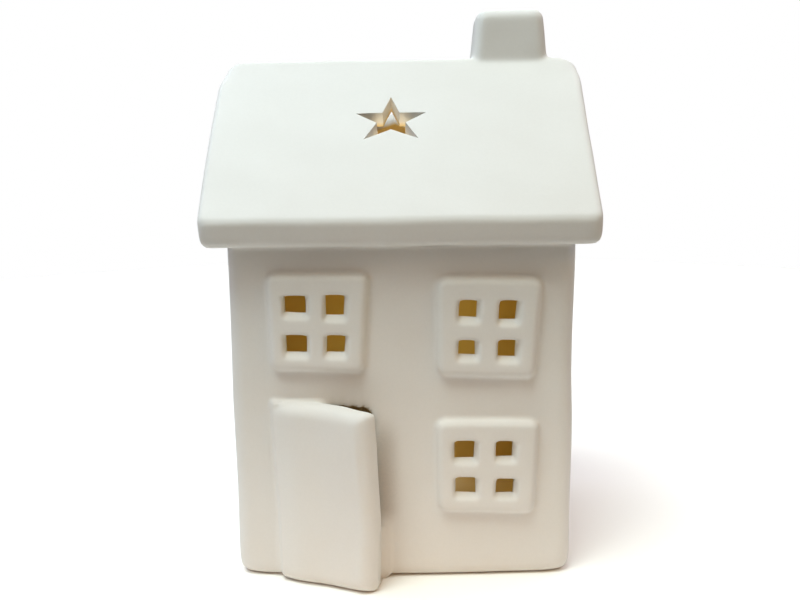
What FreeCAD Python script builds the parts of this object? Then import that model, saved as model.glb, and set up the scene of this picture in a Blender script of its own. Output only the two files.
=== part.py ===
import FreeCAD, Part
import math
import os

from FreeCAD import Vector

os.makedirs("parts", exist_ok=True)

# A white bisque porcelain tealight house and the tealight that stands in it.
# Millimetres. X runs to the right as seen from the front, the front faces -Y, Z is up.
# The origin is on the table, under the middle of the house body.

# House body
body_width = 86.0
body_depth = 67.2
wall = 4.0
body_corner = 3.5
inner_corner = 2.0
foot_round = 2.8
floor_thick = 4.0

# Roof: a bent slab of even thickness with full, undercut noses at the eaves and level soffits
eave_height = 85.75
roof_pitch = 45.0
roof_slab = 4.6
eave_overhang = 7.5
eave_undercut = 1.6
rake_overhang = 5.4
ridge_round = 2.5
eave_top_round = 2.4
eave_under_round = 2.8
rake_round = 2.0

# Star cut-outs; each centre is a share of the slope's length up from the eave
star_radius = 9.6
star_waist = 3.7
star_squash = 0.86
star_splay = 0.22
star_centre_x = -1.9
front_star_share = 0.573
rear_star_share = 0.697

# Chimney, standing astride the ridge
chimney_end_gap = 8.7
chimney_width = 20.0
chimney_depth = 17.0
chimney_front = 2.0
chimney_taper = 1.1
chimney_rise = 11.65
chimney_round = 2.8

# Windows: raised frames in two rows, set out from the eave, the table and the body's sides
window_eave_gap = 8.65
window_row_gap = 10.4
window_sill = 17.5
window_side_gap = 9.5
window_middle_gap = 8.9
upper_left_raise = 1.6
lower_shift = -0.6
frame_proud = 2.5
frame_corner = 2.2
frame_bevel = 1.1
hollow_inset = 1.6

# Two by two panes to a window, as shares of its frame
pane_width_share = 0.19
pane_height_share = 0.205
pane_pitch_share = 0.4
pane_flare = 0.9
upper_pane_drop = 0.8
lower_pane_drop = 1.7

# Door, fixed ajar, with the doorway behind it and the step that fills its foot;
# its place and width are shares of the body's width, its thickness a share of its own width,
# and its roundings shares of its thickness
door_side_share = 0.1186
door_width_share = 0.3337
door_thick_share = 0.205
door_head_gap = 7.3
door_ajar = 28.0
door_front_round_share = 0.55
door_back_round_share = 0.28
hinge_land = 5.5
doorway_side_lap = 3.7
doorway_head_lap = 1.2
doorway_head_slant = 3.8
doorway_round = 1.5
step_height = 13.9
step_spare = 0.5
step_set_back = 0.7
step_round = 1.0

# Rear arch, through which the tealight goes in and out
arch_clearance = 2.5
arch_lift_room = 6.5

# Tealight
tealight_x = -6.0
tealight_y = 0.0
cup_diameter = 38.0
cup_height = 15.5
cup_wall = 0.4
cup_bead = 0.8
cup_foot_round = 1.2
wax_top = 12.6
sustainer_diameter = 13.0
sustainer_thick = 0.4
collar_diameter = 3.4
collar_height = 3.2
wick_diameter = 1.6
wick_height = 7.5

# Roof and chimney sizes that follow
front = -body_depth / 2.0
back = body_depth / 2.0
pitch = math.radians(roof_pitch)
roof_half_depth = body_depth / 2.0 + eave_overhang
roof_width = body_width + 2.0 * rake_overhang
slab_plumb = roof_slab / math.cos(pitch)
slope_length = roof_half_depth / math.cos(pitch)
eave_top = eave_height + slab_plumb
roof_rise = roof_half_depth * math.tan(pitch)
ridge_height = eave_top + roof_rise
chimney_x = roof_width / 2.0 - chimney_end_gap - chimney_width / 2.0
chimney_top = ridge_height + chimney_rise

# Window, door and arch sizes that follow
frame_width = body_width / 2.0 - window_side_gap - window_middle_gap
frame_height = (eave_height - window_eave_gap - window_row_gap - window_sill) / 2.0
pane_width = pane_width_share * frame_width
pane_height = pane_height_share * frame_height
window_x = body_width / 2.0 - window_side_gap - frame_width / 2.0
upper_window_z = eave_height - window_eave_gap - frame_height / 2.0
upper_left_window_z = upper_window_z + upper_left_raise
lower_window_z = window_sill + frame_height / 2.0
door_hinge_x = (door_side_share - 0.5) * body_width
door_width = door_width_share * body_width
door_thick = door_thick_share * door_width
door_front_round = door_front_round_share * door_thick
door_back_round = door_back_round_share * door_thick
door_height = upper_left_window_z - frame_height / 2.0 - door_head_gap
doorway_width = door_width - hinge_land - doorway_side_lap
doorway_top = door_height - doorway_head_lap
step_foot_x = door_hinge_x + door_width + step_spare
arch_width = cup_diameter + 2.0 * arch_clearance
arch_spring = cup_height + arch_lift_room

# How far a cutting shape runs on past what it cuts, and the tolerance for picking edges
spare = 1.0
reach = 10.0
tiny = 1e-4


def box(x0, x1, y0, y1, z0, z1):
    """A block between two corners."""
    return Part.makeBox(x1 - x0, y1 - y0, z1 - z0, Vector(x0, y0, z0))


def prism(points, along):
    """A closed outline of points, pushed along a vector."""
    wire = Part.makePolygon(points + [points[0]])
    return Part.Face(wire).extrude(along)


def frustum(low, high):
    """A solid with flat sides between two outlines with the same number of points."""
    count = len(low)
    sides = [[low[k], low[(k + 1) % count], high[(k + 1) % count], high[k]] for k in range(count)]
    outlines = [low, high] + sides
    faces = [Part.Face(Part.makePolygon(points + [points[0]])) for points in outlines]
    solid = Part.Solid(Part.makeShell(faces))
    return solid if solid.Volume > 0.0 else solid.reversed()


def rounded_block(width, depth, height, radius, base=0.0):
    """A block centred on the origin with rounded upright edges."""
    block = box(-width / 2.0, width / 2.0, -depth / 2.0, depth / 2.0, base, base + height)
    upright = [e for e in block.Edges if abs(e.BoundBox.ZLength - height) < tiny]
    return block.makeFillet(radius, upright)


def edges_where(shape, test):
    """The edges of a shape whose bounding box passes a test."""
    return [e for e in shape.Edges if test(e.BoundBox)]


def flat_at_z(z):
    """A test for edges that lie level at one height."""
    return lambda b: b.ZLength < tiny and abs(b.ZMin - z) < tiny


def window_places():
    """Each window's name with its frame's centre and how far its panes sit below that."""
    return {
        "upper_left_window": (-window_x, upper_left_window_z, upper_pane_drop),
        "upper_right_window": (window_x, upper_window_z, upper_pane_drop),
        "lower_window": (window_x + lower_shift, lower_window_z, lower_pane_drop),
    }


def pane_centres(x, z, drop):
    """The centres of the two by two panes of a window at x, z."""
    half_x = pane_pitch_share * frame_width / 2.0
    half_z = pane_pitch_share * frame_height / 2.0
    return [(x + sx * half_x, z - drop + sz * half_z) for sx in (-1, 1) for sz in (-1, 1)]


def pane_outline(x, z, grow, y):
    """The corners of one pane, grown all round, on a plane of constant y."""
    half_w = pane_width / 2.0 + grow
    half_h = pane_height / 2.0 + grow
    corners = [(-1, -1), (1, -1), (1, 1), (-1, 1)]
    return [Vector(x + a * half_w, y, z + b * half_h) for a, b in corners]


def pane_hole(x, z):
    """The straight hole of one pane through the front wall."""
    return prism(pane_outline(x, z, 0.0, front - spare), Vector(0, wall + 2.0 * spare, 0))


def frame_hollow(x, z):
    """The hollow behind a raised frame, as deep as the frame stands proud."""
    half_w = frame_width / 2.0 - hollow_inset
    half_h = frame_height / 2.0 - hollow_inset
    inner = front + wall
    hollow = box(x - half_w, x + half_w, inner - frame_proud, inner + spare, z - half_h, z + half_h)
    return hollow.makeFillet(frame_corner, edges_where(hollow, lambda b: b.YLength > frame_proud))


def pane_flare_cut(x, z):
    """The splayed opening of one pane through the raised frame."""
    slant = pane_flare / frame_proud
    outer = pane_outline(x, z, pane_flare + slant * spare, front - frame_proud - spare)
    inner = pane_outline(x, z, 0.0, front)
    return frustum(outer, inner)


def doorway():
    """The opening behind the door, its head cut slanting down into the house."""
    left = door_hinge_x + hinge_land
    y0 = front - spare
    y1 = front + wall + spare
    slant = doorway_head_slant / wall
    side_outline = [
        Vector(left, y0, step_height),
        Vector(left, y1, step_height),
        Vector(left, y1, doorway_top - slant * (wall + spare)),
        Vector(left, y0, doorway_top + slant * spare),
    ]
    hole = prism(side_outline, Vector(doorway_width, 0, 0))
    return hole.makeFillet(doorway_round, edges_where(hole, lambda b: b.YLength > wall))


def rear_arch():
    """The round-headed opening in the back wall, level with the floor inside."""
    radius = arch_width / 2.0
    y0 = back - wall - spare
    depth = wall + 2.0 * spare
    sill = floor_thick
    hole = box(tealight_x - radius, tealight_x + radius, y0, y0 + depth, sill, sill + arch_spring)
    centre = Vector(tealight_x, y0, sill + arch_spring)
    head = Part.makeCylinder(radius, depth, centre, Vector(0, 1, 0))
    return hole.fuse(head).removeSplitter()


def above_slab(half_width):
    """Everything over the underside of the roof slab."""
    top = ridge_height + reach
    points = [
        Vector(-half_width, -roof_half_depth, eave_height),
        Vector(-half_width, 0, eave_height + roof_rise),
        Vector(-half_width, roof_half_depth, eave_height),
        Vector(-half_width, roof_half_depth, top),
        Vector(-half_width, -roof_half_depth, top),
    ]
    return prism(points, Vector(2.0 * half_width, 0, 0))


def house_walls():
    """Four walls with pointed gables, open at the foot and under the roof."""
    shell = rounded_block(body_width, body_depth, ridge_height, body_corner)
    shell = shell.makeFillet(foot_round, edges_where(shell, flat_at_z(0.0)))
    shell = shell.cut(chamber(-reach, ridge_height + 2.0 * reach))
    shell = shell.cut(above_slab(body_width))
    holes = [doorway(), rear_arch()]
    for x, z, drop in window_places().values():
        holes.append(frame_hollow(x, z))
        holes += [pane_hole(px, pz) for px, pz in pane_centres(x, z, drop)]
    return shell.cut(holes)


def chamber(base, height):
    """The space between the walls, as a block from a given base."""
    inner_width = body_width - 2.0 * wall
    inner_depth = body_depth - 2.0 * wall
    return rounded_block(inner_width, inner_depth, height, inner_corner, base)


def base_floor():
    """The slab that closes the foot of the walls and carries the tealight."""
    return chamber(0.0, floor_thick)


def slope_point(x, up, side, depth=0.0):
    """A point on a roof slope: up from the eave's top edge, depth into the slab."""
    y = roof_half_depth - up * math.cos(pitch) - depth * math.sin(pitch)
    z = eave_top + up * math.sin(pitch) - depth * math.cos(pitch)
    return Vector(x, side * y, z)


def star_cut(up, side):
    """A squat five-pointed star cut square through one slope; side is -1 in front, 1 behind."""
    points = []
    for k in range(10):
        radius = star_radius if k % 2 == 0 else star_waist
        turn = math.radians(36.0 * k)
        rise = radius * math.cos(turn)
        spread = 1.0 + star_splay * max(0.0, -rise / star_radius)
        x = star_centre_x + spread * radius * math.sin(turn)
        points.append(slope_point(x, up + star_squash * rise, side, -spare))
    through = slope_point(0, 0, side, roof_slab + spare) - slope_point(0, 0, side, -spare)
    return prism(points, through)


def roof():
    """The bent slab with softened edges and a star through each slope."""
    side = roof_width / 2.0
    under_wall_top = eave_height + eave_overhang * math.tan(pitch)
    half = [
        (0.0, ridge_height),
        (roof_half_depth, eave_top),
        (roof_half_depth - eave_undercut, eave_height),
        (back, eave_height),
        (back, under_wall_top),
        (0.0, eave_height + roof_rise),
    ]
    mirrored = [(-y, z) for y, z in half[-2:0:-1]]
    points = [Vector(-side, y, z) for y, z in half + mirrored]
    slab = prism(points, Vector(roof_width, 0, 0))
    for height, radius in [
        (ridge_height, ridge_round),
        (eave_top, eave_top_round),
        (eave_height, eave_under_round),
    ]:
        slab = slab.makeFillet(radius, edges_along_x(slab, height))
    rakes = edges_where(slab, lambda b: b.XLength < tiny and abs(abs(b.XMin) - side) < tiny)
    slab = slab.makeFillet(rake_round, rakes)
    front_star = star_cut(front_star_share * slope_length, -1)
    rear_star = star_cut(rear_star_share * slope_length, 1)
    return slab.cut([front_star, rear_star])


def edges_along_x(shape, height):
    """The roof's outermost edges along X at one height."""
    chosen = edges_where(shape, flat_at_z(height))
    far_y = max(abs(e.BoundBox.YMin) for e in chosen)
    return [e for e in chosen if e.BoundBox.XLength > tiny and abs(e.BoundBox.YMin) > far_y - tiny]


def chimney(roof_shape):
    """The tapered stack, saddled onto the ridge."""
    base = ridge_height - chimney_depth
    half = chimney_width / 2.0
    height = chimney_top - base
    shrink = chimney_taper / (chimney_top - ridge_height)
    spread = shrink * (ridge_height - base)
    low = half + spread
    high = half - chimney_taper
    front_outline = [
        Vector(chimney_x - low, -chimney_front, base),
        Vector(chimney_x + low, -chimney_front, base),
        Vector(chimney_x + high, -chimney_front, chimney_top),
        Vector(chimney_x - high, -chimney_front, chimney_top),
    ]
    stack = prism(front_outline, Vector(0, chimney_depth, 0))
    sides = edges_where(stack, lambda b: b.ZLength > 0.5 * height)
    top = edges_where(stack, flat_at_z(chimney_top))
    stack = stack.makeFillet(chimney_round, sides + top)
    saddled = stack.cut(above_slab_inside()).cut(roof_shape)
    return max(saddled.Solids, key=lambda s: s.BoundBox.ZMax)


def above_slab_inside():
    """The space under the roof slab, which the stack leaves free."""
    half = roof_width / 2.0
    points = [
        Vector(-half, -roof_half_depth, eave_height),
        Vector(-half, 0, eave_height + roof_rise),
        Vector(-half, roof_half_depth, eave_height),
    ]
    return prism(points, Vector(roof_width, 0, 0))


def window_frame(x, z, drop):
    """A raised frame and its cross bars, luted onto the front wall."""
    half_w = frame_width / 2.0
    half_h = frame_height / 2.0
    plate = box(x - half_w, x + half_w, front - frame_proud, front, z - half_h, z + half_h)
    plate = plate.makeFillet(frame_corner, edges_where(plate, lambda b: b.YLength > 0.5 * frame_proud))
    face = front - frame_proud
    rim = edges_where(plate, lambda b: b.YLength < tiny and abs(b.YMin - face) < tiny)
    plate = plate.makeChamfer(frame_bevel, rim)
    return plate.cut([pane_flare_cut(px, pz) for px, pz in pane_centres(x, z, drop)])


def door_leaf():
    """The leaf, swung out on its left edge and trimmed on the front of the wall."""
    root = door_thick / math.tan(math.radians(door_ajar)) + spare
    leaf = box(-root, door_width, 0.0, door_thick, 0.0, door_height)
    rim = edges_where(leaf, lambda b: b.YLength < tiny and b.XMax > door_width - tiny)
    leaf = leaf.makeFillet(door_front_round, [e for e in rim if e.BoundBox.YMax < tiny])
    back_rim = edges_where(leaf, lambda b: b.YMin > door_thick - tiny and b.XMax > door_width - tiny)
    leaf = leaf.makeFillet(door_back_round, back_rim)
    hinge = Vector(door_hinge_x, front, 0.0)
    leaf.rotate(Vector(0, 0, 0), Vector(0, 0, 1), -door_ajar)
    leaf.translate(hinge)
    before_wall = box(-body_width, body_width, front - body_depth, front, 0.0, door_height + spare)
    return leaf.common(before_wall)


def door_step(leaf):
    """The wedge between the leaf and the wall, level with the doorway's foot."""
    ajar = math.radians(door_ajar)
    corner_x = door_hinge_x + door_width * math.cos(ajar) + door_thick * math.sin(ajar)
    corner_y = front - door_width * math.sin(ajar) + door_thick * math.cos(ajar)
    inset = step_set_back * door_front_round
    points = [
        Vector(door_hinge_x + spare, front, 0),
        Vector(corner_x - inset, corner_y - inset, 0),
        Vector(step_foot_x, front, 0),
    ]
    wedge = prism(points, Vector(0, 0, step_height))
    side = edges_where(wedge, lambda b: b.ZLength < tiny and b.XMin > corner_x - inset - tiny)
    wedge = wedge.makeFillet(step_round, side)
    trimmed = wedge.cut(leaf)
    return max(trimmed.Solids, key=lambda s: s.BoundBox.XMax)


def turned(points):
    """A solid of revolution about the tealight's axis from radius and height pairs."""
    wire = Part.makePolygon([Vector(r, 0, z) for r, z in points + [points[0]]])
    solid = Part.Face(wire).revolve(Vector(0, 0, 0), Vector(0, 0, 1), 360)
    return seated(solid)


def seated(shape):
    """A tealight piece, moved from its own axis to its place on the floor."""
    shape.translate(Vector(tealight_x, tealight_y, floor_thick))
    return shape


def tealight_cup():
    """The drawn metal cup, with a rolled bead at its rim."""
    rim = cup_diameter / 2.0
    side = rim - cup_bead
    foot = side - cup_foot_round
    points = [
        (0.0, 0.0),
        (foot, 0.0),
        (side, cup_foot_round),
        (side, cup_height - cup_bead),
        (rim, cup_height - cup_bead),
        (rim, cup_height),
        (side - cup_wall, cup_height),
        (side - cup_wall, cup_foot_round),
        (foot, cup_wall),
        (0.0, cup_wall),
    ]
    return turned(points)


def wick_sustainer():
    """The tin disc on the cup's bottom, with the collar that grips the wick."""
    disc = sustainer_diameter / 2.0
    collar = collar_diameter / 2.0
    wick = wick_diameter / 2.0
    base = cup_wall
    points = [
        (wick, base),
        (disc, base),
        (disc, base + sustainer_thick),
        (collar, base + sustainer_thick),
        (collar, base + collar_height),
        (wick, base + collar_height),
    ]
    return turned(points)


def tealight_wick():
    """The round wick, from the cup's bottom to above the wax."""
    height = wax_top + wick_height - cup_wall
    return seated(Part.makeCylinder(wick_diameter / 2.0, height, Vector(0, 0, cup_wall)))


def tealight_wax():
    """The disc of wax, cast in the cup round the sustainer and the wick."""
    side = cup_diameter / 2.0 - cup_bead
    foot = side - cup_foot_round
    disc = sustainer_diameter / 2.0
    collar = collar_diameter / 2.0
    wick = wick_diameter / 2.0
    base = cup_wall
    points = [
        (disc, base),
        (foot, base),
        (side - cup_wall, cup_foot_round),
        (side - cup_wall, wax_top),
        (wick, wax_top),
        (wick, base + collar_height),
        (collar, base + collar_height),
        (collar, base + sustainer_thick),
        (disc, base + sustainer_thick),
    ]
    return turned(points)


def export(name, shape):
    """Write one piece and print its size."""
    solids = len(shape.Solids)
    print(name, "valid", shape.isValid(), "solids", solids, "volume", round(shape.Volume, 1))
    shape.exportStep("parts/" + name + ".step")


roof_shape = roof()
leaf_shape = door_leaf()
export("house_walls", house_walls())
export("base_floor", base_floor())
export("roof", roof_shape)
export("chimney", chimney(roof_shape))
for window, (centre_x, centre_z, pane_drop) in window_places().items():
    export(window, window_frame(centre_x, centre_z, pane_drop))
export("door_leaf", leaf_shape)
export("door_step", door_step(leaf_shape))
export("tealight_cup", tealight_cup())
export("wick_sustainer", wick_sustainer())
export("tealight_wick", tealight_wick())
export("tealight_wax", tealight_wax())
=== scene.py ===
import math

import bmesh
import bpy
import numpy as np
from mathutils import Matrix, Vector
from mathutils.bvhtree import BVHTree


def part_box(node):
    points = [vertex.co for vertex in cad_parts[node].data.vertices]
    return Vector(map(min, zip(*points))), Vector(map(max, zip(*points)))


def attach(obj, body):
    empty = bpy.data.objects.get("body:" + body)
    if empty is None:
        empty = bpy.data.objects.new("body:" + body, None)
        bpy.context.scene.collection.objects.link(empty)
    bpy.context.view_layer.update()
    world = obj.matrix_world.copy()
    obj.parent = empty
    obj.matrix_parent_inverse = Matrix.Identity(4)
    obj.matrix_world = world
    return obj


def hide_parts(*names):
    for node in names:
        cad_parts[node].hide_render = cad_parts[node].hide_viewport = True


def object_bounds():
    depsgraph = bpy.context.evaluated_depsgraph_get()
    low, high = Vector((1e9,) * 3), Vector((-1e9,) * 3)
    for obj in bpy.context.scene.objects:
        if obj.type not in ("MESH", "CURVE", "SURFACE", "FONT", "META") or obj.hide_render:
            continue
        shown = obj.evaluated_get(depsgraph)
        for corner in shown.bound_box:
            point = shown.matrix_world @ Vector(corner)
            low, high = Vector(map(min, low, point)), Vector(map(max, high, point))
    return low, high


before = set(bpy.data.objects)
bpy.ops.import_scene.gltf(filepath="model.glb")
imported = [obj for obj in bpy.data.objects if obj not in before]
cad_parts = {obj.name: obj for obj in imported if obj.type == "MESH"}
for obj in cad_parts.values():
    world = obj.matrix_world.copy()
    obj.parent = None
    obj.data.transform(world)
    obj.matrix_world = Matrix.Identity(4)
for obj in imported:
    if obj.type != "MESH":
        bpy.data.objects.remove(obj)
cad_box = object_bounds()

# A white bisque tealight house and its tealight. Meshes are worked in millimetres and turned into
# metres last. The clay pieces are fused into one soft skin, as the fired body is, cut with crisp
# stars, panes and doorway, split again at the CAD pieces' borders, and warped a little.

MM = 1000.0
CLAY = [
    "house_walls",
    "base_floor",
    "roof",
    "chimney",
    "upper_left_window",
    "upper_right_window",
    "lower_window",
    "door_leaf",
    "door_step",
]
WINDOWS = CLAY[4:7]

# The same sizes as in the part's source
WALL = 4.0
FLOOR = 4.0
SLAB = 4.6
PITCH = math.radians(45.0)
FRAME_PROUD = 2.5
DOOR_AJAR = math.radians(28.0)
DOOR_THICK = 5.88
HEAD_SLANT = 3.8
STEP_HEIGHT = 13.9
CUP_WALL = 0.4
CUP_BEAD = 0.8
WAX_TOP = 12.6
SUSTAINER_RADIUS = 6.5
SUSTAINER_THICK = 0.4
COLLAR_RADIUS = 1.7
COLLAR_TOP = 3.6

# The pleats up the cup's side
PLEATS = 72
PLEAT_DEPTH = 0.16

# The skin: its voxels, how often it is smoothed, and the least points of a loose part that is kept
VOXEL = 0.6
SMOOTH_ROUNDS = 4
WEAR_ROUNDS = 40
SLIVER_POINTS = 60

# How deep a border between two pieces runs under the skin, and the one below the roof under its
# soffits
SEAM = 0.3
ROOF_SEAM = 0.6

# How far round a worn corner the wear reaches
LEAF_TOP_WEAR = 9.5
LEAF_FOOT_WEAR = 5.0
RIDGE_WEAR = 7.0
EAVE_WEAR = 6.0
WALL_FOOT_WEAR = 8.0

# A star in each slope: how far up the slope and across its centre is, the share by which it narrows
# for each millimetre of depth, and its points as across and up from its centre
FRONT_STAR_UP = 33.3
REAR_STAR_UP = 40.5
STAR_X = -1.9
STAR_DRAFT = 0.008
STAR = [
    (0.0, 8.3),
    (2.2, 2.6),
    (9.1, 2.55),
    (3.7, -0.9),
    (6.9, -6.8),
    (0.0, -3.3),
    (-6.9, -6.8),
    (-3.7, -0.9),
    (-9.1, 2.55),
    (-2.2, 2.6),
]

# Each window's panes: centre, width and height, left to right in the upper row, then in the lower
PANES = {
    "upper_left_window": [
        (-26.0, 71.5, 5.3, 4.2),
        (-16.25, 71.2, 4.7, 5.05),
        (-26.1, 61.6, 5.5, 4.4),
        (-16.2, 61.5, 4.8, 4.3),
    ],
    "upper_right_window": [
        (16.5, 69.9, 4.3, 4.2),
        (26.35, 69.5, 4.1, 4.7),
        (16.2, 60.15, 4.3, 3.7),
        (26.1, 59.9, 4.55, 4.0),
    ],
    "lower_window": [
        (15.5, 34.2, 5.1, 4.6),
        (25.6, 34.2, 4.2, 4.1),
        (15.7, 24.85, 5.1, 4.2),
        (25.7, 24.5, 4.5, 3.95),
    ],
}

# How far a pane's mouth flares out at the frame's face, left, right, below and above, and how deep
MOUTH_FLARE = (0.6, 1.1, 1.8, 0.3)
MOUTH_DEPTH = 2.1

# The most that a pane's corner is off square
PANE_WOBBLE = 0.14

# The doorway's outline, with the torn upper edge that shows over the door
DOORWAY = [
    (-27.3, STEP_HEIGHT),
    (-7.8, STEP_HEIGHT),
    (-7.2, 41.7),
    (-7.6, 43.4),
    (-8.5, 44.5),
    (-9.8, 45.3),
    (-10.9, 45.1),
    (-12.4, 45.5),
    (-13.5, 45.2),
    (-14.8, 45.7),
    (-16.2, 45.5),
    (-17.6, 45.7),
    (-19.2, 45.3),
    (-24.0, 44.6),
    (-27.3, 43.0),
]

# The wall's belly
BELLY = 2.4

# The leaf: how far its hinge edge stands out of the wall, and leans over from head to foot; how far
# its free edge has come in all along, more at the top and more at the foot; how far its corner droops
LEAF_PROUD = 1.6
LEAF_LEAN = 1.6
LEAF_IN = 0.35
LEAF_IN_TOP = 1.5
LEAF_IN_FOOT = 0.9
LEAF_DROOP = 0.8

# How far short the step's free end stops
STEP_SHY = 2.2

# How far the ridge's ends have come down, and in, at the left and at the right
RIDGE_DOWN = 1.4
RIDGE_IN_LEFT = 1.4
RIDGE_IN_RIGHT = 0.6

# How far each window frame's corners stand from the CAD ones, across and up: lower left, lower
# right, upper right, upper left
FRAME_NUDGES = {
    "upper_left_window": [(1.2, 0.8), (-0.5, 0.2), (1.2, 0.0), (0.4, 0.0)],
    "upper_right_window": [(0.1, 0.6), (-0.5, -0.3), (1.1, -0.2), (0.1, 0.2)],
    "lower_window": [(0.6, 0.6), (0.2, -0.4), (1.0, -0.9), (0.2, -0.5)],
}

# Brown painted shade about the doorway: how dark its rim is painted and how far that reaches, and how
# dark the wall beside the leaf is painted
RIM_SHADE = 0.55
RIM_REACH = 1.1
SIDE_SHADE = 0.36

# Radius of the floor, and of its middle, which throws light back up, in metres
FLOOR_RADIUS = 0.62
MIDDLE_RADIUS = 0.155


def box_mm(node):
    """Lowest and highest corner of a CAD node, in millimetres."""
    low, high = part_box(node)
    return low * MM, high * MM


walls_low, walls_high = box_mm("house_walls")
roof_low, roof_high = box_mm("roof")
chimney_low, chimney_high = box_mm("chimney")
leaf_low, leaf_high = box_mm("door_leaf")
step_high = box_mm("door_step")[1]
cup_low, cup_high = box_mm("tealight_cup")
FRONT = walls_low.y
BACK = walls_high.y
SIDE = walls_high.x
EAVE = roof_low.z
HALF_DEPTH = roof_high.y
UNDER_APEX = EAVE + HALF_DEPTH * math.tan(PITCH)
APEX = UNDER_APEX + SLAB / math.cos(PITCH)
EAVE_TOP = EAVE + SLAB / math.cos(PITCH)
HINGE = Vector((leaf_low.x, FRONT))
DOOR_WIDTH = (leaf_high.x - leaf_low.x - DOOR_THICK * math.sin(DOOR_AJAR)) / math.cos(DOOR_AJAR)


# Mesh tools


def link(name, mesh):
    """A new object of a mesh, in the scene."""
    obj = bpy.data.objects.new(name, mesh)
    bpy.context.scene.collection.objects.link(obj)
    return obj


def from_bmesh(name, bm):
    """A new object of a bmesh, which is freed."""
    mesh = bpy.data.meshes.new(name)
    bm.to_mesh(mesh)
    bm.free()
    return link(name, mesh)


def discard(obj):
    """Removes an object and its mesh."""
    mesh = obj.data
    bpy.data.objects.remove(obj)
    bpy.data.meshes.remove(mesh)


def clay_copy(node):
    """A welded copy of a CAD node's mesh, in millimetres."""
    bm = bmesh.new()
    bm.from_mesh(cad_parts[node].data)
    bm.transform(Matrix.Scale(MM, 4))
    bmesh.ops.remove_doubles(bm, verts=bm.verts, dist=1e-3)
    return from_bmesh("work_" + node, bm)


def loft(name, outlines):
    """A closed solid through outlines that have the same number of points."""
    bm = bmesh.new()
    rings = [[bm.verts.new(p) for p in outline] for outline in outlines]
    bm.faces.new(rings[0])
    bm.faces.new(rings[-1][::-1])
    for near, far in zip(rings, rings[1:]):
        for k in range(len(near)):
            n = (k + 1) % len(near)
            bm.faces.new((near[k], far[k], far[n], near[n]))
    bmesh.ops.recalc_face_normals(bm, faces=bm.faces)
    return from_bmesh(name, bm)


def prism(name, outline, along):
    """A closed outline of points, pushed along a vector."""
    return loft(name, [outline, [Vector(p) + Vector(along) for p in outline]])


def block(name, low, high):
    """A box between two corners."""
    outline = [(low[0], low[1]), (high[0], low[1]), (high[0], high[1]), (low[0], high[1])]
    return prism(name, [(x, y, low[2]) for x, y in outline], (0, 0, high[2] - low[2]))


def bake(obj):
    """Applies an object's modifiers."""
    graph = bpy.context.evaluated_depsgraph_get()
    mesh = bpy.data.meshes.new_from_object(obj.evaluated_get(graph))
    old = obj.data
    obj.modifiers.clear()
    obj.data = mesh
    bpy.data.meshes.remove(old)
    return obj


def combine(obj, others, operation):
    """Boolean of one object with several; each face keeps its own material."""
    for other in others:
        mod = obj.modifiers.new("combine", "BOOLEAN")
        mod.operation = operation
        mod.solver = "MANIFOLD"
        mod.material_mode = "TRANSFER"
        mod.object = other
    return bake(obj)


def joined(objects):
    """Several objects that don't touch, as one."""
    bm = bmesh.new()
    for obj in objects:
        bm.from_mesh(obj.data)
        discard(obj)
    return from_bmesh("joined", bm)


def paint(obj, material):
    """Gives an object this one material."""
    obj.data.materials.clear()
    obj.data.materials.append(material)
    return obj


def islands(bm):
    """The loose parts of a mesh, each as a list of its points."""
    left = set(bm.verts)
    while left:
        found = [left.pop()]
        for vert in found:
            for edge in vert.link_edges:
                other = edge.other_vert(vert)
                if other in left:
                    left.remove(other)
                    found.append(other)
        yield found


def tidy_faces(mesh):
    """Splits the faces with many corners while they are flat, and drops slivers along a border."""
    bm = bmesh.new()
    bm.from_mesh(mesh)
    slivers = [part for part in islands(bm) if len(part) < SLIVER_POINTS]
    bmesh.ops.delete(bm, geom=[vert for part in slivers for vert in part], context="VERTS")
    large = [face for face in bm.faces if len(face.verts) > 4]
    bmesh.ops.triangulate(bm, faces=large)
    bm.to_mesh(mesh)
    bm.free()
    return mesh


def fetched(items, name):
    """A whole number of every one of a mesh's faces, edges or corners."""
    values = np.empty(len(items), np.int32)
    items.foreach_get(name, values)
    return values


def fetched_vectors(items, name):
    """A vector of every one of a mesh's points or faces, as rows."""
    values = np.empty(len(items) * 3, np.float32)
    items.foreach_get(name, values)
    return values.reshape(-1, 3).astype(float)


def vertex_array(mesh):
    """The places of a mesh's points, as rows."""
    return fetched_vectors(mesh.vertices, "co")


def set_vertices(mesh, co):
    """Puts a mesh's points where the rows say."""
    mesh.vertices.foreach_set("co", co.astype(np.float32).ravel())
    mesh.update()


def smoothstep(x, low, high):
    """0 below low, 1 above high, with a soft rise between."""
    t = np.clip((x - low) / (high - low), 0.0, 1.0)
    return t * t * (3.0 - 2.0 * t)


def slope_point(x, up, side, depth):
    """A point on a roof slope: up from the eave's top edge, depth into the slab."""
    y = HALF_DEPTH - up * math.cos(PITCH) - depth * math.sin(PITCH)
    return Vector((x, side * y, EAVE_TOP + up * math.sin(PITCH) - depth * math.cos(PITCH)))


# The fused skin


def slab_plug(side, up):
    """Fills a star, flush with both faces of the slab."""
    left, right, reach = -16.0, 12.0, 12.5
    plug = block("plug", (left, up - reach, 0.0), (right, up + reach, SLAB))
    for vertex in plug.data.vertices:
        vertex.co = slope_point(vertex.co.x, vertex.co.y, side, vertex.co.z)
    bm = bmesh.new()
    bm.from_mesh(plug.data)
    bmesh.ops.recalc_face_normals(bm, faces=bm.faces)
    bm.to_mesh(plug.data)
    bm.free()
    return plug


def window_plug(node):
    """Fills a window's panes, from the frame's face to the hollow behind it."""
    low, high = box_mm(node)
    inset = 2.6
    near = (low.x + inset, FRONT - FRAME_PROUD, low.z + inset)
    far = (high.x - inset, FRONT + WALL - FRAME_PROUD, high.z - inset)
    return block("plug", near, far)


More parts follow.
